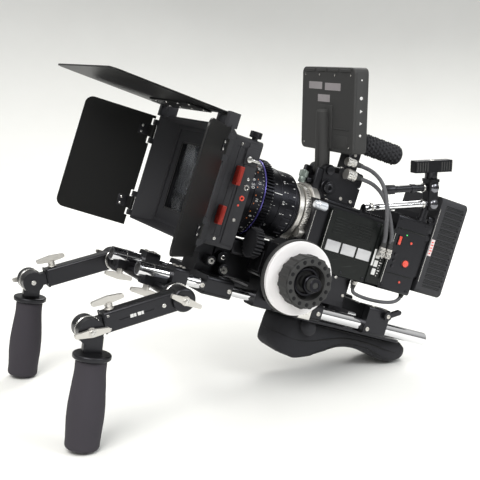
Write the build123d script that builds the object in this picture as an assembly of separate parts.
from build123d import *
import os
from math import asin, atan2, cos, degrees, pi, radians, sin, tan

# A shoulder-mounted cinema camera rig: camera, lens, matte box, follow focus, monitor and battery on
# support rods, held by two front grips on jointed arms and a shoulder pad at the back.
#
# Everything but the grips is laid out in the rig frame, in millimetres: +X is the camera's left, +Y runs
# from lens to battery along the rods, +Z is square to them, and the origin is midway between the rods at
# the front end of the bracket tubes. The rig then stands nose up on its grips and its pad.

# ---------------------------------------------------------------- driving dimensions
nose_up = 18.4            # tilt of the rods when the rig stands on a table, degrees
rod_spacing = 104.0       # centre to centre
front_rod_d = 15.0
rear_rod_d = 19.0
bracket_tube_d = 19.0
bracket_tube_len = 67.0
lens_axis_z = 130.0       # height of the lens axis over the rods

slip = 0.3                # air between faces that move past each other
running = 0.05            # radial play of a pin in its hole or a rod in its clamp

rod_tap_d = 10.2          # tapped end of each rear rod
rod_tap_len = 18.0
front_rod_y = 10.0        # front end of the front rods, inside the bracket tubes
rear_rod_end_y = 493.0

bracket_y = 46.0          # handle bracket's rod cheeks
bracket_len = 22.0
bracket_half = 118.0      # from the centre plane to each rosette face
rosette_r = 15.0
rosette_len = 14.0
shoulder_y = 35.0         # shoulder pivot of each handle arm, in the rig frame
shoulder_z = -15.3

arm_len = 125.0           # shoulder pivot to elbow pivot, with the arm pushed in
arm_w = 20.0
arm_h = 26.0
arm_bar_w = 13.4          # the sliding inner bar
arm_bar_h = 17.4
arm_travel = 35.0
arm_tube_len = 104.0
arm_dome_len = 6.0
wrist_w = 12.6
wrist_drop = 26.0         # elbow pivot to the grip's collar
grip_offset = 5.0         # grip axis behind the elbow pivot
grip_lean = 7.6           # degrees, foot forward
collar_r = 23.5
collar_len = 7.0
foam_len = 112.0
foam_top_r = 19.3
foam_mid_r = 23.5
foam_foot_r = 22.0
foam_core_r = 9.0

wing_len = 44.0           # wing levers of the arms and brackets
stem_r = 3.0

base_y = 212.0            # block that joins the front and rear rods
base_len = 78.0
cheek_wall = 5.0          # clamp metal beyond each rod's side
clamp_under = 12.0        # clamp underside below the rod axis
bridge_len = 132.0
bridge_half = 32.0
bridge_t = 8.0
base_top = 14.0
camera_bottom = 58.0

rear_clamp_y = 368.0
rear_clamp_len = 40.0
rear_clamp_top = 30.0

shoulder_plate_t = 4.0
shoulder_plate_y = 250.0
shoulder_plate_len = 205.0
pad_half = 46.0
plate_half = 50.0
pad_corner = 36.0         # the pad's corners seen from above
pad_y = (239.0, 500.5)

body_y = 236.0            # front face of the camera
body_len = 144.0
body_half = 48.0
body_h = 100.0
panel_t = 6.0
panel_y = 26.0            # from the camera's front face
panel_len = 90.0
slot_t = 8.0
slot_len = 28.0
rear_module_len = 60.0
rear_module_half = 52.0
rear_module_rise = 15.0   # top of the rear module over the camera's top
lock_plate_t = 12.0
battery_w = 97.0
battery_h = 151.0
battery_t = 53.0
battery_bottom = 67.0
battery_gap = 0.3

button_r = 5.2
button_travel = 1.5

lens_front_y = 106.0
lens_front_r = 55.0
lens_core_r = 46.0
lens_mount_r = 36.0
lens_len = 128.0
gear_module = 1.6
ring_teeth = 70
drive_teeth = 25
gear_y = 150.0
gear_w = 12.0
focus_ring_wall = 7.0
iris_y = 190.0
iris_w = 12.0
iris_wall = 4.0
lock_ring_r = 41.0
lock_ring_w = 9.0

stage_y = 62.0            # filter stage of the matte box
stage_len = 42.0
stage_half_w = 92.0
stage_half_h = 74.0
window_half_w = 70.0
window_half_h = 50.0
tray_t = 5.0
tray_pitch = 8.5
tray_first = 5.0          # from the stage's front face to the first tray
tray_half_h = 60.0
tray_reach = 12.0         # tab beyond the stage's side
rear_ring_r = 72.0
rear_ring_len = 8.0
lens_clear = 1.0          # between the lens front and the matte box ring

hood_len = 24.0
hood_half_w = 121.0
hood_half_h = 79.5
hood_wall = 2.5
flag_t = 2.0
side_flag_len = 107.0
side_flag_h = 167.0
side_flag_bottom = 38.0
flag_corner = 12.0
hinge_pin_r = 1.5
hinge_r = 3.0
hinge_out = 3.5           # hinge axis beyond the hood's edge
left_flag_out = 50.0      # degrees outward from straight ahead, as it stands
right_flag_out = 18.0
top_flag_len = 168.0
top_flag_up = 1.6
top_flag_clear = 4.0      # top flag's edge inside the hood's edge, clear of the side hinges
top_hinge_rise = 14.0     # hinge axis over the hood's top edge

support_y = 96.0          # matte box support on the front rods
support_len = 42.0
support_post_half = 22.0

wheel_y = 193.0           # follow focus wheel axis
wheel_z = 46.5
disc_r = 50.0
disc_x = 126.0
disc_t = 6.5
wheel_r = 35.5
wheel_len = 26.0
wheel_lobes = 16
hub_r = 9.0
hub_len = 15.0
gearbox_r = 20.0
drive_gear_x = 50.0

frame_block_half = 22.0   # block on top of the camera that carries handle and monitor
frame_block_y = 250.0
frame_block_len = 68.0
frame_block_top = 212.0
handle_z = 258.0
handle_grip_r = 16.0
handle_core_r = 9.0
handle_y = 288.0
handle_len = 94.0

pivot_y = 258.0           # monitor pivot
pivot_z = 202.0
pivot_r = 9.0
monitor_w = 144.0
monitor_h = 121.0
monitor_t = 23.0
monitor_back = 5.0        # monitor's back behind the pivot
monitor_rise = 27.0       # monitor's lower edge over the pivot
monitor_r = 9.0
spine_r = 11.0
spine_top = 88.0

stay_x = 40.0             # ball clamp and stays behind the monitor
stay_y = 436.0
stay_rise = 30.0          # lower ball over the rear module's top
ball_r = 8.5
ball_pitch = 25.0
stay_r = 5.6
stay_len = 112.0
upper_arm_r = 5.4
upper_arm_len = 85.0

cable_d = 6.0
power_cable_d = 5.5

rear_module_h = body_h + rear_module_rise
stay_z = camera_bottom + rear_module_h + stay_rise
rod_x = rod_spacing / 2
front_rod_r = front_rod_d / 2
rear_rod_r = rear_rod_d / 2
tube_r = bracket_tube_d / 2
rod_join_y = base_y + base_len / 2
cheek_out = rod_x + rear_rod_r + cheek_wall
cheek_in = rod_x - rear_rod_r - cheek_wall
CENTRE = (Align.CENTER, Align.CENTER, Align.MIN)


# ---------------------------------------------------------------- shape helpers
def box(x, y, z, round_edges=None, r=0.0):
    """A block between three (low, high) pairs, with the edges along one axis rounded."""
    solid = Pos(sum(x) / 2, sum(y) / 2, sum(z) / 2) * Box(x[1] - x[0], y[1] - y[0], z[1] - z[0])
    if round_edges is not None:
        solid = fillet(solid.edges().filter_by(round_edges), r)
    return solid


def rod(start, direction, r, length, inner=0.0):
    """A cylinder, or a tube when inner is given, from start along direction."""
    solid = Cylinder(r, length, align=CENTRE)
    if inner:
        solid -= Cylinder(inner, length, align=CENTRE)
    return Plane(origin=start, z_dir=direction) * solid


def ring(y, length, r, inner=0.0):
    """A ring about the lens axis."""
    return rod((0, y, lens_axis_z), (0, 1, 0), r, length, inner)


def both_sides(solid):
    """A solid on the left and its mirror image on the right."""
    return solid + mirror(solid, about=Plane.YZ)


def wing(length, width, tip, thick):
    """A lever's wing, wide in the middle and narrow at its rounded tips, lying in the XY plane."""
    half, mid, end = length / 2, width / 2, tip / 2
    outline = Polyline((-half, -end), (0, -mid), (half, -end), (half, end), (0, mid), (-half, end),
                       close=True)
    solid = extrude(make_face(outline), thick)
    return fillet(solid.edges().filter_by(Axis.Z).sort_by(Axis.X)[0:2]
                  + solid.edges().filter_by(Axis.Z).sort_by(Axis.X)[-2:], end * 0.8)


def flat_lever(stem_len, turn):
    """A lever whose flat wing turns close over the face that it clamps."""
    hub = Cylinder(6.0, 2.5, align=CENTRE)
    stem = Pos(0, 0, -stem_len) * Cylinder(stem_r, stem_len, align=CENTRE)
    blade = Pos(0, 0, 1.5) * Rot(0, 0, turn) * wing(wing_len, 10.0, 5.0, 4.5)
    cap = Pos(0, 0, 6.0) * Cylinder(3.6, 1.2, align=CENTRE)
    return hub + stem + blade + cap


def tee_lever(stem_len, neck_len):
    """A lever whose upright wing stands on a neck."""
    stem = Pos(0, 0, -stem_len) * Cylinder(stem_r, stem_len, align=CENTRE)
    neck = Cylinder(4.6, neck_len, align=CENTRE)
    blade = Pos(0, 2.5, neck_len + 3) * Rot(90, 0, 0) * wing(wing_len * 0.94, 10.0, 5.5, 5.0)
    return stem + neck + blade


def gear(teeth, width, bore):
    """A spur gear with straight-sided teeth about +Z, with a tooth on +X."""
    pitch = gear_module * teeth / 2
    root, crown = pitch - gear_module * 1.15, pitch + gear_module
    step = 360 / teeth
    low, high = step * 0.30, step * 0.11
    points = []
    for n in range(teeth):
        for r, a in ((root, -low), (crown, -high), (crown, high), (root, low)):
            at = radians(n * step + a)
            points.append((r * cos(at), r * sin(at)))
    return extrude(make_face(Polyline(*points, close=True)), width) - Cylinder(bore, width, align=CENTRE)


def upright(point, solid):
    """Set a solid made about the origin, +Z up when the rig stands, at a point of the rig frame."""
    return Pos(*point) * Rot(nose_up, 0, 0) * solid


def rod_bores(y, length, r):
    """Holes for the two rods."""
    return both_sides(rod((rod_x, y, 0), (0, 1, 0), r + running, length))


def cord(points, d):
    """A round cable on straight runs and the widest arcs that they allow.

    Returns:
        The cable's solid and the radii of its arcs.
    """
    route = [Vector(*p) for p in points]
    radii = []
    for before, here, after in zip(route, route[1:], route[2:]):
        half_turn = radians((here - before).get_angle(after - here)) / 2
        radii.append(0.45 * min((here - before).length, (after - here).length) / tan(half_turn))
    path = FilletPolyline(*route, radius=radii)
    tube = sweep(Plane(origin=route[0], z_dir=path % 0) * Circle(d / 2), path=path)
    return tube, radii


# ---------------------------------------------------------------- rods, clamps and shoulder rest
def make_front_rods():
    return both_sides(rod((rod_x, front_rod_y, 0), (0, 1, 0), front_rod_r, rod_join_y - front_rod_y))


def make_rear_rods():
    one = rod((rod_x, rod_join_y, 0), (0, 1, 0), rear_rod_r, rear_rod_end_y - rod_join_y)
    one = chamfer(one.edges().sort_by(Axis.Y)[-1], 1.0)
    one -= rod((rod_x, rear_rod_end_y - rod_tap_len, 0), (0, 1, 0), rod_tap_d / 2, rod_tap_len)
    return both_sides(one)


def make_bracket_tubes():
    return both_sides(rod((rod_x, 0, 0), (0, 1, 0), tube_r, bracket_tube_len, front_rod_r + running))


def make_handle_bracket():
    rear = bracket_y + bracket_len
    cheek = box((cheek_in, cheek_out), (bracket_y, rear), (-15, 15), Axis.Y, 5)
    saddle = box((rod_x - 8, rod_x + 8), (8, bracket_y), (-18, -4), Axis.Z, 4)
    bar = box((0, bracket_half - rosette_len + 2), (shoulder_y - 9, rear - 6), (-23, -11.5), Axis.X, 4)
    stub = rod((bracket_half - rosette_len, shoulder_y, shoulder_z), (1, 0, 0), rosette_r, rosette_len)
    bracket = both_sides(cheek + saddle + bar + stub)
    bracket -= rod_bores(8, rear - 8, tube_r)
    pivot_hole = rod((bracket_half - rosette_len - 2, shoulder_y, shoulder_z), (1, 0, 0),
                     stem_r + running, rosette_len + 2)
    stem_hole = rod((rod_x, 20, -19), (0, 0, 1), stem_r + running, 12)
    return bracket - both_sides(pivot_hole + stem_hole)


def make_bracket_lever():
    lever = Rot(0, 0, 90) * tee_lever(7.5, 8.0)
    return Pos(rod_x, 20, -18 - slip) * Rot(180, 0, 0) * lever


def make_base_plate():
    y = (base_y, base_y + base_len)
    block = box((-cheek_out, cheek_out), y, (-clamp_under, base_top), Axis.Y, 6)
    return (block - rod_bores(base_y, base_len / 2, front_rod_r)
            - rod_bores(rod_join_y, base_len / 2, rear_rod_r))


def make_riser():
    bridge = box((-bridge_half, bridge_half), (base_y, base_y + bridge_len), (base_top, base_top + bridge_t))
    block_y = (body_y + 8, base_y + bridge_len)
    block = box((-bridge_half - 3, bridge_half + 3), block_y, (base_top + bridge_t, camera_bottom),
                Axis.Z, 4)
    window = box((-bridge_half - 3, bridge_half + 3), (block_y[0] + 20, block_y[1] - 42),
                 (base_top + bridge_t + 8, camera_bottom - 8), Axis.X, 5)
    return bridge + block - window


def make_rear_clamp():
    y = (rear_clamp_y, rear_clamp_y + rear_clamp_len)
    cheek = box((cheek_in, cheek_out), y, (-clamp_under, rear_clamp_top), Axis.Y, 5)
    bar = box((0, cheek_in + 6), (y[0] + 8, y[1] - 8), (10, rear_clamp_top - 4))
    slot = box((rod_x - 0.8, rod_x + 0.8), y, (0, rear_clamp_top))
    clamp = both_sides(cheek - slot + bar) - rod_bores(rear_clamp_y, rear_clamp_len, rear_rod_r)
    pin = rod((cheek_in + 4, y[1] - 8, 22), (1, 0, 0), stem_r + running, cheek_out - cheek_in)
    return clamp - pin


def make_rear_clamp_lever():
    """The cam lever on the rear clamp's left cheek."""
    pin = rod((cheek_in + 5, 0, 0), (1, 0, 0), stem_r, cheek_out + slip - cheek_in - 5)
    hub = rod((cheek_out + slip, 0, 0), (1, 0, 0), 6.5, 6)
    blade = box((cheek_out + slip, cheek_out + slip + 6), (0, 24), (-3.5, 3.5), Axis.X, 3.2)
    lever = Rot(28, 0, 0) * (pin + hub + blade)
    return Pos(0, rear_clamp_y + rear_clamp_len - 8, 22) * lever


def make_shoulder_plate():
    y = (shoulder_plate_y, shoulder_plate_y + shoulder_plate_len)
    return box((-plate_half, plate_half), y, (-clamp_under - shoulder_plate_t, -clamp_under), Axis.Z, 10)


def make_shoulder_pad():
    """The pad's side outline, drawn across the rig, with its rear lobe lowest on the table."""
    top = -clamp_under - shoulder_plate_t
    outline = FilletPolyline(
        (0, 250, top), (0, 239, -41), (0, 246, -69), (0, 292, -78), (0, 360, -39), (0, 412, -39),
        (0, 454, -50.4), (0, 497, -41.4), (0, 500, -33), (0, 468, top),
        radius=[8, 12, 16, 34, 40, 60, 30, 5, 5, 8], close=True)
    pad = extrude(make_face(outline), pad_half, dir=(1, 0, 0), both=True)
    return pad & box((-pad_half, pad_half), pad_y, (-90, top), Axis.Z, pad_corner)


# ---------------------------------------------------------------- camera, power and recording
side_x = body_half + panel_t
slot_y = body_y + panel_y + panel_len
rear_module_y = body_y + body_len
lock_plate_y = rear_module_y + rear_module_len
battery_y = lock_plate_y + lock_plate_t + battery_gap


def make_camera_body():
    body = box((-body_half, body_half), (body_y, body_y + body_len), (camera_bottom, camera_bottom + body_h))
    body = chamfer(body.edges().filter_by(Axis.Y), 4)
    throat = ring(body_y, 30, lens_mount_r + slip)
    vents = Part() + [box((-body_half, -body_half + 3), (body_y + 30 + n * 10, body_y + 34 + n * 10),
                          (camera_bottom + 20, camera_bottom + 90)) for n in range(9)]
    return body - throat - vents


def make_side_panel():
    """The bolted side cover, with a shallow inset for a plain badge."""
    y = (body_y + panel_y, body_y + panel_y + panel_len)
    panel = box((body_half, side_x), y, (camera_bottom + 2, camera_bottom + 94), Axis.X, 3)
    return panel - box((side_x - 0.6, side_x), (y[0] + 6, y[1] - 6),
                       (camera_bottom + 30, camera_bottom + 54), Axis.X, 2)


def make_storage_slot():
    face = body_half + slot_t
    module = box((body_half, face), (slot_y, slot_y + slot_len), (camera_bottom + 4, camera_bottom + 92),
                 Axis.X, 2)
    return module - box((face - 2, face), (slot_y + 5, slot_y + slot_len - 4),
                        (camera_bottom + 14, camera_bottom + 70), Axis.X, 1.5)


def make_rear_module():
    z = (camera_bottom, camera_bottom + rear_module_h)
    module = box((-rear_module_half, rear_module_half), (rear_module_y, lock_plate_y), z, Axis.Y, 4)
    well = rod((rear_module_half, button_y, button_z), (-1, 0, 0), button_r + slip, 6)
    return module - well


button_y = rear_module_y + 36.0
button_z = camera_bottom + 46.0


def make_record_button():
    proud = button_travel + 1.0
    button = rod((rear_module_half + proud, button_y, button_z), (-1, 0, 0), button_r, proud + 3.5)
    return fillet(button.edges().sort_by(Axis.X)[-1], 0.8)


def make_lock_plate():
    z = (battery_bottom + 18, battery_bottom + 118)
    return box((-battery_w / 2 + 4, battery_w / 2 - 4), (lock_plate_y, lock_plate_y + lock_plate_t), z,
               Axis.Y, 5)


def make_battery():
    """The battery pack, ribbed on its sides and top."""
    half = battery_w / 2
    z = (battery_bottom, battery_bottom + battery_h)
    pack = box((-half, half), (battery_y, battery_y + battery_t), z, Axis.Y, 8)
    pack = fillet(pack.edges().filter_by(Axis.Y, reverse=True).group_by(Axis.Y)[-1], 3)
    rib_pitch = 9.0
    for n in range(14):
        low = z[0] + 16 + n * rib_pitch
        pack -= box((half - 1.6, half), (battery_y + 10, battery_y + battery_t - 6), (low, low + 3))
        pack -= box((-half, -half + 1.6), (battery_y + 10, battery_y + battery_t - 6), (low, low + 3))
    return pack


# ---------------------------------------------------------------- lens
def make_lens_barrel():
    """Front barrel, a core that carries the two turning rings, and the tail in the camera's throat."""
    barrel = ring(lens_front_y, gear_y - lens_front_y - slip, lens_front_r)
    barrel += ring(lens_front_y, iris_y + iris_w + slip - lens_front_y, lens_core_r)
    scale_y = gear_y + gear_w + 2 + slip
    barrel += ring(scale_y, iris_y - slip - scale_y, lens_core_r + 4)
    tail_y = iris_y + iris_w + slip
    barrel += ring(tail_y, 4, lens_core_r + 3)
    barrel += ring(tail_y, lens_front_y + lens_len - 6 - tail_y, lens_mount_r + 1)
    barrel += ring(tail_y, body_y + 12 - tail_y, lens_mount_r)
    return barrel - ring(lens_front_y, 19, lens_core_r)


def make_front_glass():
    glass = ring(lens_front_y + 14, 5, lens_core_r - running)
    dome = Pos(0, lens_front_y + 14 + 60, lens_axis_z) * Sphere(67)
    return glass + (ring(lens_front_y + 4, 10, lens_core_r - 4) & dome)


def make_focus_ring():
    """The geared ring that the follow focus drives, with its scale ring beside it."""
    teeth = Plane(origin=(0, gear_y, lens_axis_z), x_dir=(1, 0, 0), z_dir=(0, 1, 0)) * Rot(
        0, 0, gear_angle) * gear(ring_teeth, gear_w, lens_core_r + running)
    return teeth + ring(gear_y + gear_w, 2, lens_core_r + focus_ring_wall, lens_core_r + running)


def make_iris_ring():
    grip = ring(iris_y, iris_w, lens_core_r + iris_wall, lens_core_r + running)
    for n in range(24):
        notch = rod((lens_core_r + iris_wall + 0.8, iris_y, 0), (0, 1, 0), 1.8, iris_w)
        grip -= Pos(0, 0, lens_axis_z) * Rot(0, n * 15, 0) * notch
    return grip


def make_lock_ring():
    """The mount's locking ring with its two grips."""
    y = body_y - lock_ring_w - slip
    grips = Part() + [Pos(0, 0, lens_axis_z) * Rot(0, turn, 0)
                      * box((lock_ring_r - 3, lock_ring_r + 8), (y, y + lock_ring_w), (-7, 7), Axis.Y, 3)
                      for turn in (38, 218)]
    return (ring(y, lock_ring_w, lock_ring_r) + grips) - ring(y, lock_ring_w, lens_mount_r + 1 + slip)


# ---------------------------------------------------------------- matte box
hood_y = stage_y - hood_len
stage_rear = stage_y + stage_len
left_hinge = (hood_half_w + hinge_out, hood_y - 2)
top_hinge = (hood_y - 3, lens_axis_z + hood_half_h + top_hinge_rise)
lug_heights = (62.0, 172.0)
lug_len = 8.0
knuckle_len = 20.0
tray_width = 2 * stage_half_w - 8


def make_hood():
    """A flared hood with hinge lugs for the flags on its front edge."""
    def flare(inset):
        small = Plane(origin=(0, stage_y, lens_axis_z), x_dir=(1, 0, 0), z_dir=(0, -1, 0)) * Rectangle(
            2 * (stage_half_w - inset), 2 * (stage_half_h - inset))
        large = Plane(origin=(0, hood_y, lens_axis_z), x_dir=(1, 0, 0), z_dir=(0, -1, 0)) * Rectangle(
            2 * (hood_half_w - inset), 2 * (hood_half_h - inset))
        return loft([small, large])
    hood = flare(0) - flare(hood_wall)
    x, y = left_hinge
    for low in lug_heights:
        for z in (low - lug_len, low + knuckle_len):
            lug = box((hood_half_w - hood_wall, x + hinge_r), (y - hinge_r, y + hinge_r + 2), (z, z + lug_len))
            hood += both_sides(lug)
        pin = rod((x, y, low - lug_len), (0, 0, 1), hinge_pin_r, knuckle_len + 2 * lug_len)
        hood += both_sides(pin)
    ty, tz = top_hinge
    top = lens_axis_z + hood_half_h
    post = box((82, 90), (ty - hinge_r, ty + 12), (top - hood_wall, tz + hinge_r))
    far_post = box((110, 118), (ty - hinge_r, ty + 12), (top - hood_wall, tz + hinge_r))
    pin = rod((82, ty, tz), (1, 0, 0), hinge_pin_r, 36)
    return hood + both_sides(post + far_post + pin)


def side_flag(out):
    """The left flag, turned out from straight ahead by the angle given."""
    plate = box((-flag_t / 2, flag_t / 2), (-side_flag_len, -1.8),
                (side_flag_bottom, side_flag_bottom + side_flag_h))
    plate = fillet(plate.edges().filter_by(Axis.X).group_by(Axis.Y)[0], flag_corner)
    bore = Part()
    for low in lug_heights:
        for z in (low - lug_len - 1, low + knuckle_len - 1):
            plate -= box((-5, 5), (-6, 5), (z, z + lug_len + 2))
        plate += rod((0, 0, low + slip), (0, 0, 1), hinge_r, knuckle_len - 2 * slip)
        bore += rod((0, 0, low), (0, 0, 1), hinge_pin_r + running, knuckle_len)
    x, y = left_hinge
    return Pos(x, y, 0) * Rot(0, 0, out) * (plate - bore)


def make_top_flag():
    """The wide top flag, with a stiffening plate under its hinge edge."""
    half = hood_half_w - top_flag_clear
    plate = box((-half, half), (-top_flag_len, -1.8), (-flag_t / 2, flag_t / 2))
    plate = fillet(plate.edges().filter_by(Axis.Z).group_by(Axis.Y)[0], flag_corner)
    stiffener = box((-70, 70), (-42, -4), (-flag_t / 2 - 2, -flag_t / 2), Axis.Z, 6)
    plate += stiffener
    knuckle = rod((90 + slip, 0, 0), (1, 0, 0), hinge_r, 20 - 2 * slip)
    slot = (-top_hinge_rise - hood_wall - 3, 5)
    posts = box((81, 91), slot, (-5, 5)) + box((109, 119), slot, (-5, 5))
    bore = rod((90, 0, 0), (1, 0, 0), hinge_pin_r + running, 20)
    flag = plate - both_sides(posts) + both_sides(knuckle) - both_sides(bore)
    y, z = top_hinge
    return Pos(0, y, z) * Rot(-top_flag_up, 0, 0) * flag


def make_filter_stage():
    """The frame that holds the filter trays, with the round ring that closes onto the lens."""
    stage = box((-stage_half_w, stage_half_w), (stage_y, stage_rear),
                (lens_axis_z - stage_half_h, lens_axis_z + stage_half_h), Axis.Y, 6)
    stage += ring(stage_rear, rear_ring_len, rear_ring_r)
    stage -= box((-window_half_w, window_half_w), (stage_y, stage_y + 30),
                 (lens_axis_z - window_half_h, lens_axis_z + window_half_h), Axis.Y, 4)
    stage -= ring(stage_y + 30, stage_len - 30 + rear_ring_len, lens_front_r + lens_clear)
    for n in range(2):
        y = tray_y(n)
        stage -= box((stage_half_w - tray_width - slip, stage_half_w), (y - slip, y + tray_t + slip),
                     (lens_axis_z - tray_half_h - slip, lens_axis_z + tray_half_h + slip))
    return stage


def tray_y(n):
    return stage_y + tray_first + n * tray_pitch


def make_tray(n, tab_z):
    """A filter frame that slides out to the left by its tab."""
    y = (tray_y(n), tray_y(n) + tray_t)
    z = (lens_axis_z - tray_half_h, lens_axis_z + tray_half_h)
    x = (stage_half_w - tray_width, stage_half_w - 0.5)
    frame = box(x, y, z) - box((-window_half_w, window_half_w), y,
                               (lens_axis_z - window_half_h, lens_axis_z + window_half_h))
    return frame + box((x[1], stage_half_w + tray_reach), y, (tab_z - 12, tab_z + 12), Axis.Y, 4)


def make_box_support():
    """The matte box's foot on the front rods and its post up to the filter stage."""
    y = (support_y, support_y + support_len)
    foot = box((-cheek_out, cheek_out), y, (-clamp_under, 14), Axis.Y, 5)
    stage_bottom = lens_axis_z - stage_half_h
    mid = (stage_rear - 10, stage_rear + 10)
    post = box((-support_post_half, support_post_half), (mid[0], y[1]), (14, stage_bottom - 18))
    neck = box((-support_post_half, support_post_half), (mid[0] - 8, mid[1]), (stage_bottom - 18, stage_bottom))
    neck -= ring(stage_rear, 30, rear_ring_r + slip)
    knobs = rod((support_post_half, y[0] + 12, 32), (1, 0, 0), 6.5, 12)
    knobs += rod((support_post_half, y[1] - 9, 24), (1, 0, 0), 7.5, 16)
    return foot + post + neck + knobs - rod_bores(support_y, support_len, front_rod_r)


# ---------------------------------------------------------------- follow focus
gear_distance = gear_module * (ring_teeth + drive_teeth) / 2 + 0.3
drive_gear_z = lens_axis_z - (gear_distance ** 2 - drive_gear_x ** 2) ** 0.5
gear_angle = degrees(atan2(lens_axis_z - drive_gear_z, drive_gear_x))
shaft_r = 4.0


def make_focus_housing():
    """The follow focus gearbox, its rod clamp and the bearing of the drive gear's shaft."""
    drum = rod((66, wheel_y, wheel_z), (1, 0, 0), gearbox_r, disc_x - 66 - slip)
    case = box((drive_gear_x - 14, 74), (gear_y + gear_w + 4, wheel_y + 14), (wheel_z - 16, drive_gear_z + 8),
               Axis.X, 5)
    foot_y = (wheel_y - 18, wheel_y + 12)
    cheek = box((cheek_in, cheek_out), foot_y, (-clamp_under, wheel_z - 10), Axis.Y, 4)
    far_cheek = box((-cheek_out, -cheek_in), foot_y, (-clamp_under, 16), Axis.Y, 4)
    bar = box((-cheek_in - 4, cheek_in + 4), (foot_y[0] + 6, foot_y[1] - 6), (-6, 8))
    housing = drum + case + cheek + far_cheek + bar
    housing -= rod((drive_gear_x, gear_y + gear_w + 3, drive_gear_z), (0, 1, 0), shaft_r + running, 21)
    housing -= rod((disc_x - 12, wheel_y, wheel_z), (1, 0, 0), shaft_r + running, 13)
    return housing - rod_bores(foot_y[0], foot_y[1] - foot_y[0], front_rod_r)


def make_drive_gear():
    """The small gear on its shaft, in mesh with the lens ring, a space facing the ring's tooth."""
    facing = gear_angle + 180 + 180 / drive_teeth
    small = Plane(origin=(drive_gear_x, gear_y, drive_gear_z), x_dir=(1, 0, 0), z_dir=(0, 1, 0)) * Rot(
        0, 0, facing) * gear(drive_teeth, gear_w, shaft_r - 0.5)
    shaft = rod((drive_gear_x, gear_y, drive_gear_z), (0, 1, 0), shaft_r, gear_w + 22)
    return small + shaft


def make_marking_disc():
    disc = rod((disc_x, wheel_y, wheel_z), (1, 0, 0), disc_r, disc_t, hub_r + 4)
    return chamfer(disc.edges().filter_by(GeomType.CIRCLE).sort_by(SortBy.RADIUS)[-2:], 0.8)


def make_handwheel():
    """The knobbed wheel, with a finger recess in its face and a long hub."""
    face = disc_x + disc_t
    wheel = rod((face, wheel_y, wheel_z), (1, 0, 0), wheel_r - 4, wheel_len)
    wheel += rod((face + 4, wheel_y, wheel_z), (1, 0, 0), wheel_r - 1, wheel_len - 6)
    for n in range(wheel_lobes):
        at = 2 * pi * n / wheel_lobes
        lobe = (face + 3, wheel_y + (wheel_r - 4.5) * cos(at), wheel_z + (wheel_r - 4.5) * sin(at))
        wheel += rod(lobe, (1, 0, 0), 4.4, wheel_len - 4)
    wheel -= rod((face + wheel_len - 14, wheel_y, wheel_z), (1, 0, 0), wheel_r - 12, 14)
    wheel += rod((face, wheel_y, wheel_z), (1, 0, 0), hub_r, wheel_len + hub_len)
    wheel += rod((disc_x, wheel_y, wheel_z), (1, 0, 0), hub_r + 4 - running, disc_t)
    return wheel + rod((disc_x - 10, wheel_y, wheel_z), (1, 0, 0), shaft_r, 12)


# ---------------------------------------------------------------- handle, monitor and stays
def make_handle_frame():
    """The block on the camera's top, the handle's upright and core, and the monitor's fork."""
    y = (frame_block_y, frame_block_y + frame_block_len)
    block = box((-frame_block_half, frame_block_half), y, (camera_bottom + body_h, frame_block_top - 22))
    block += box((-frame_block_half, frame_block_half), (y[0] + 24, y[1]),
                 (frame_block_top - 22, frame_block_top), Axis.X, 5)
    upright_post = box((-12, 12), (handle_y, handle_y + 22), (frame_block_top - 4, handle_z + 4), Axis.Z, 3)
    core = rod((0, handle_y + 4, handle_z), (0, 1, 0), handle_core_r, handle_len - 10)
    fork = box((spine_r + slip, frame_block_half), (pivot_y - 9, y[0] + 30), (frame_block_top - 24, pivot_z),
               Axis.X, 3)
    fork += rod((spine_r + slip, pivot_y, pivot_z), (1, 0, 0), pivot_r, frame_block_half - spine_r - slip)
    hole = rod((spine_r, pivot_y, pivot_z), (1, 0, 0), stem_r + running, 20)
    clear = rod((-spine_r - slip, pivot_y, pivot_z), (1, 0, 0), pivot_r + 4, 2 * (spine_r + slip))
    return block + upright_post + core - clear + both_sides(fork - hole)


def make_handle_grip():
    """The rubber grip, with rings of studs."""
    start = handle_y + 24
    length = handle_len - 24
    grip = rod((0, start, handle_z), (0, 1, 0), handle_grip_r - 1.5, length)
    grip = fillet(grip.edges().filter_by(GeomType.CIRCLE), 5)
    for n in range(6):
        grip += ring_at(start + 7 + n * 10.5)
    return grip - rod((0, start, handle_z), (0, 1, 0), handle_core_r + running, length - 6)


def ring_at(y):
    """One raised band of the handle grip."""
    return rod((0, y, handle_z), (0, 1, 0), handle_grip_r, 5.5)


def make_monitor():
    """The monitor on its rear spine, upright when the rig stands."""
    low = monitor_rise
    case = box((-monitor_w / 2, monitor_w / 2), (monitor_back, monitor_back + monitor_t), (low, low + monitor_h),
               Axis.Y, monitor_r)
    case = fillet(case.edges().group_by(Axis.Y)[0], 2)
    case -= box((-monitor_w / 2 + 9, monitor_w / 2 - 9), (monitor_back + monitor_t - 1.5, monitor_back + monitor_t),
                (low + 14, low + monitor_h - 12))
    spine = rod((0, 0, 0), (0, 0, 1), spine_r, spine_top)
    spine = fillet(spine.edges().sort_by(Axis.Z)[-1], 5)
    barrel = rod((-spine_r, 0, 0), (1, 0, 0), pivot_r, 2 * spine_r)
    pin = rod((-frame_block_half, 0, 0), (1, 0, 0), stem_r, 2 * frame_block_half)
    return upright((0, pivot_y, pivot_z), case + spine + barrel + pin)


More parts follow.
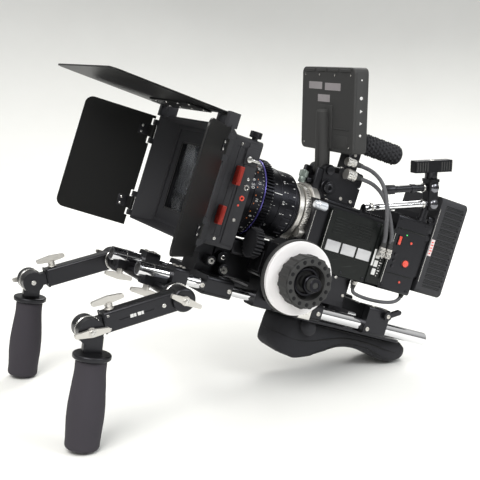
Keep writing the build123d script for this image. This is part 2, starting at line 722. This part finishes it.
def make_ball_clamp():
    """The post on the rear module, with the jaws round the two balls and the upper arm."""
    jaws = box((-11, 11), (-9, 9), (-9, ball_pitch + 9), Axis.Z, 5)
    jaws += box((-13, 13), (-9, 9), (ball_pitch + 9, ball_pitch + 13), Axis.Z, 5)
    module_top = camera_bottom + rear_module_h
    post = rod((stay_x, stay_y - 5, module_top), (0, 0, 1), 6, stay_z - module_top)
    foot = rod((stay_x, stay_y - 5, module_top), (0, 0, 1), 9, 5)
    hollows = rod((0, 0, ball_pitch + 9), (0, 0, 1), stem_r + running, 10)
    for height, r in ((0, stay_r), (ball_pitch, upper_arm_r)):
        hollows += Pos(0, 0, height) * Sphere(ball_r + running)
        hollows += rod((0, 0, height), (0, -1, 0), r + running, 18)
    place = (stay_x, stay_y, stay_z)
    return upright(place, jaws) + post + foot - upright(place, hollows)


def make_stays():
    """The polished stay and the upper arm, each with a ball in the clamp's jaws."""
    lower = Sphere(ball_r) + rod((0, 0, 0), (0, -1, 0), stay_r, stay_len)
    lower += rod((0, -stay_len + 2, 0), (0, -1, 0), 6.5, 10)
    upper = Pos(0, 0, ball_pitch) * (Sphere(ball_r) + rod((0, 0, 0), (0, -1, 0), upper_arm_r, upper_arm_len))
    return lower, upper


def make_clamp_knob():
    """The bar knob that squeezes the ball clamp's jaws."""
    seat = ball_pitch + 13 + slip
    knob = rod((0, 0, ball_pitch + 9.5), (0, 0, 1), stem_r, seat - ball_pitch - 9)
    knob += rod((0, 0, seat), (0, 0, 1), 9.5, 11)
    knob += box((-8.5, 8.5), (-34, 34), (seat + 10, seat + 28), Axis.Z, 3)
    return upright((stay_x, stay_y, stay_z), knob)


# ---------------------------------------------------------------- cables
def make_connectors():
    """Plugs and sockets that the cables end in."""
    plug = rod(monitor_plug_1, (0, -1, 0), 8.0, 15)
    plug += rod(monitor_plug_2, (0, -1, 0), 6.0, 15)
    sockets = Part() + [rod(p, (0, 0, -1), 5.0, 14) for p in (socket_1, socket_2)]
    return plug + sockets + rod(power_plug, (0, 0, 1), 5.0, camera_bottom - power_plug[2])


monitor_plug_1 = (frame_block_half + 8.0, 296.0, 205.0)
monitor_plug_2 = (frame_block_half + 6.0, 292.0, 223.0)
socket_x = body_half + slot_t + 5.0
socket_1 = (socket_x, 373.0, 118.0)
socket_2 = (socket_x, 361.0, 118.0)
power_plug = (42.0, 344.0, 53.0)

cable_1 = [monitor_plug_1, (30, 311, 205), (38, 328, 203), (50, 341, 192), (59, 352, 173), (62, 363, 152),
           (socket_x, 373, 133), socket_1]
cable_2 = [monitor_plug_2, (28, 307, 223), (37, 322, 220), (51, 333, 209), (64, 338, 190), (71, 343, 167),
           (68, 352, 144), (socket_x, 361, 130), socket_2]
power_route = [power_plug, (42, 344, 42.5), (42, 356, 38.5), (42.5, 378, 37), (43, 402, 38), (43, 423, 42),
               (42, 435, 50), (42, 435, 58)]


# ---------------------------------------------------------------- handle arms, left side
arm_x = bracket_half + slip
wrist_x = arm_x + arm_w + slip
grip_x = wrist_x + wrist_w / 2 + 3.0


def make_wrist():
    """Elbow disc, neck and collar of the grip, about the elbow pivot, grip straight down."""
    disc = rod((wrist_x, 0, 0), (1, 0, 0), rosette_r + 1, wrist_w)
    neck = box((wrist_x, wrist_x + wrist_w), (grip_offset - 12, grip_offset + 12), (-wrist_drop, -6),
               Axis.Z, 3)
    collar = rod((grip_x, grip_offset, -wrist_drop), (0, 0, -1), collar_r, collar_len)
    collar = fillet(collar.edges().filter_by(GeomType.CIRCLE), 2.5)
    core = rod((grip_x, grip_offset, -wrist_drop - collar_len), (0, 0, -1), foam_core_r, foam_len - 8)
    hole = rod((wrist_x, 0, 0), (1, 0, 0), stem_r + running, wrist_w)
    return disc + neck + collar + core - hole


def make_foam():
    """The foam sleeve, fuller at the middle, closed at its foot."""
    profile = make_face(
        Spline((foam_top_r, 0), (foam_top_r + 1.2, -foam_len * 0.22), (foam_mid_r, -foam_len * 0.6),
               (foam_foot_r, -foam_len + 5))
        + Line((foam_foot_r, -foam_len + 5), (foam_foot_r - 5, -foam_len))
        + Polyline((foam_foot_r - 5, -foam_len), (0, -foam_len), (0, 0), (foam_top_r, 0)))
    sleeve = revolve(Plane.XZ * profile, Axis.Z)
    core = rod((0, 0, 0), (0, 0, -1), foam_core_r + running, foam_len - 8)
    return Pos(grip_x, grip_offset, -wrist_drop - collar_len) * (sleeve - core)


def make_elbow_lever():
    return Plane(origin=(wrist_x + wrist_w + slip, 0, 0), x_dir=(0, 1, 0), z_dir=(1, 0, 0)) * flat_lever(
        wrist_w + slip, 6)


def make_arm():
    """Outer arm about the shoulder pivot, pointing along -Y, with a channel for the inner bar."""
    half_h = arm_h / 2
    arm = box((arm_x, arm_x + arm_w), (-arm_tube_len, 0), (-half_h, half_h), Axis.Y, 3)
    arm += rod((arm_x, 0, 0), (1, 0, 0), rosette_r, arm_w)
    dome = rod((arm_x + arm_w, 0, 0), (1, 0, 0), rosette_r + 0.5, arm_dome_len)
    arm += fillet(dome.edges().sort_by(Axis.X)[-1], 4)
    arm -= box(bar_x(slip), (-arm_tube_len, -16), (-arm_bar_h / 2 - slip, arm_bar_h / 2 + slip))
    arm -= box((arm_x + arm_w - 0.8, arm_x + arm_w), (-86, -40), (-0.8, 0.8))
    arm -= rod((arm_x, 0, 0), (1, 0, 0), stem_r + running, arm_w + arm_dome_len)
    return arm - rod((arm_x + arm_w / 2, -tee_y, arm_bar_h / 2), (0, 0, 1), stem_r + running, 12)


tee_y = 92.0


def bar_x(play):
    mid = arm_x + arm_w / 2
    return (mid - arm_bar_w / 2 - play, mid + arm_bar_w / 2 + play)


def make_arm_bar():
    """Inner bar that slides out of the arm and ends in the elbow disc."""
    bar = box(bar_x(0), (-arm_len, -20), (-arm_bar_h / 2, arm_bar_h / 2), Axis.Y, 1.5)
    disc = rod((arm_x, -arm_len, 0), (1, 0, 0), rosette_r, arm_w)
    return bar + disc - rod((arm_x, -arm_len, 0), (1, 0, 0), stem_r + running, arm_w)


def make_shoulder_lever():
    face = arm_x + arm_w + arm_dome_len + slip
    stem = face - bracket_half + rosette_len - 2
    return Plane(origin=(face, 0, 0), x_dir=(0, 1, 0), z_dir=(1, 0, 0)) * flat_lever(stem, -36)


def make_tee_lever():
    lever = Rot(0, 0, 90) * tee_lever(arm_h / 2 - arm_bar_h / 2 - 0.6, 9.0)
    return Pos(arm_x + arm_w / 2, -tee_y, arm_h / 2 + slip) * lever


# ---------------------------------------------------------------- the rig
nodes = {}
nodes["front_rods"] = make_front_rods()
nodes["rear_rods"] = make_rear_rods()
nodes["bracket_tubes"] = make_bracket_tubes()
nodes["handle_bracket"] = make_handle_bracket()
nodes["bracket_lever_left"] = make_bracket_lever()
nodes["bracket_lever_right"] = mirror(make_bracket_lever(), about=Plane.YZ)
nodes["base_plate"] = make_base_plate()
nodes["camera_riser"] = make_riser()
nodes["rear_clamp"] = make_rear_clamp()
nodes["rear_clamp_lever"] = make_rear_clamp_lever()
nodes["shoulder_plate"] = make_shoulder_plate()
nodes["shoulder_pad"] = make_shoulder_pad()
nodes["camera_body"] = make_camera_body()
nodes["side_panel"] = make_side_panel()
nodes["storage_slot"] = make_storage_slot()
nodes["rear_module"] = make_rear_module()
nodes["record_button"] = make_record_button()
nodes["lock_plate"] = make_lock_plate()
nodes["battery"] = make_battery()
nodes["lens_barrel"] = make_lens_barrel()
nodes["front_glass"] = make_front_glass()
nodes["focus_ring"] = make_focus_ring()
nodes["iris_ring"] = make_iris_ring()
nodes["mount_lock_ring"] = make_lock_ring()
nodes["hood"] = make_hood()
nodes["filter_stage"] = make_filter_stage()
nodes["filter_tray_front"] = make_tray(0, lens_axis_z - 32)
nodes["filter_tray_rear"] = make_tray(1, lens_axis_z + 23)
nodes["flag_left"] = side_flag(left_flag_out)
nodes["flag_right"] = mirror(side_flag(right_flag_out), about=Plane.YZ)
nodes["top_flag"] = make_top_flag()
nodes["box_support"] = make_box_support()
nodes["focus_housing"] = make_focus_housing()
nodes["drive_gear"] = make_drive_gear()
nodes["marking_disc"] = make_marking_disc()
nodes["handwheel"] = make_handwheel()
nodes["handle_frame"] = make_handle_frame()
nodes["handle_grip"] = make_handle_grip()
nodes["monitor"] = make_monitor()
nodes["ball_clamp"] = make_ball_clamp()
lower_stay, upper_stay = make_stays()
nodes["stay_rod"] = upright((stay_x, stay_y, stay_z), lower_stay)
nodes["upper_arm"] = upright((stay_x, stay_y, stay_z), upper_stay)
nodes["clamp_knob"] = make_clamp_knob()
nodes["connectors"] = make_connectors()

first_cable, radii_1 = cord(cable_1, cable_d)
second_cable, radii_2 = cord(cable_2, cable_d)
nodes["monitor_cables"] = first_cable + second_cable
nodes["power_cable"], radii_3 = cord(power_route, power_cable_d)

# The rig tips nose up and rests on the pad's rear lobe; the arms reach down to set the grips on the table.
tip = Rot(-nose_up, 0, 0)
pad_low = (tip * nodes["shoulder_pad"]).bounding_box().min.Z
standing = {name: Pos(0, 0, -pad_low) * tip * solid for name, solid in nodes.items()}

wrist = Rot(-grip_lean, 0, 0) * make_wrist()
foam = Rot(-grip_lean, 0, 0) * make_foam()
elbow_height = -foam.bounding_box().min.Z
tilt = radians(nose_up)
shoulder = (shoulder_y * cos(tilt) + shoulder_z * sin(tilt),
            -shoulder_y * sin(tilt) + shoulder_z * cos(tilt) - pad_low)
arm_down = asin((shoulder[1] - elbow_height) / arm_len)
elbow = (shoulder[0] - arm_len * cos(arm_down), elbow_height)
at_shoulder = Pos(0, *shoulder) * Rot(degrees(arm_down), 0, 0)
at_elbow = Pos(0, *elbow)
left_handle = {
    "arm": at_shoulder * make_arm(),
    "arm_bar": at_shoulder * make_arm_bar(),
    "shoulder_lever": at_shoulder * make_shoulder_lever(),
    "arm_lever": at_shoulder * make_tee_lever(),
    "wrist": at_elbow * wrist,
    "foam_grip": at_elbow * foam,
    "elbow_lever": at_elbow * make_elbow_lever(),
}
for name, solid in left_handle.items():
    standing[name + "_left"] = solid
    standing[name + "_right"] = mirror(solid, about=Plane.YZ)

# The row's origin is under the middle of the whole rig, at the height of the table.
boxes = [solid.bounding_box() for solid in standing.values()]
back_shift = -(min(b.min.Y for b in boxes) + max(b.max.Y for b in boxes)) / 2
side_shift = -(min(b.min.X for b in boxes) + max(b.max.X for b in boxes)) / 2


def to_row(point):
    """A point of the rig frame in the row frame."""
    x, y, z = point
    return (x + side_shift, y * cos(tilt) + z * sin(tilt) + back_shift,
            z * cos(tilt) - y * sin(tilt) - pad_low)


if __name__ == "__main__":
    os.makedirs("parts", exist_ok=True)
    for name, solid in standing.items():
        export_step(Pos(side_shift, back_shift, 0) * solid, f"parts/{name}.step")
    for name, radii in (("first cable", radii_1), ("second cable", radii_2), ("power cable", radii_3)):
        print(name, "arc radii", [round(r, 1) for r in radii])
    print(len(standing), "nodes; grips stand", round(elbow_height, 1), "mm under the elbows; arms slope",
          round(degrees(arm_down), 1), "degrees")
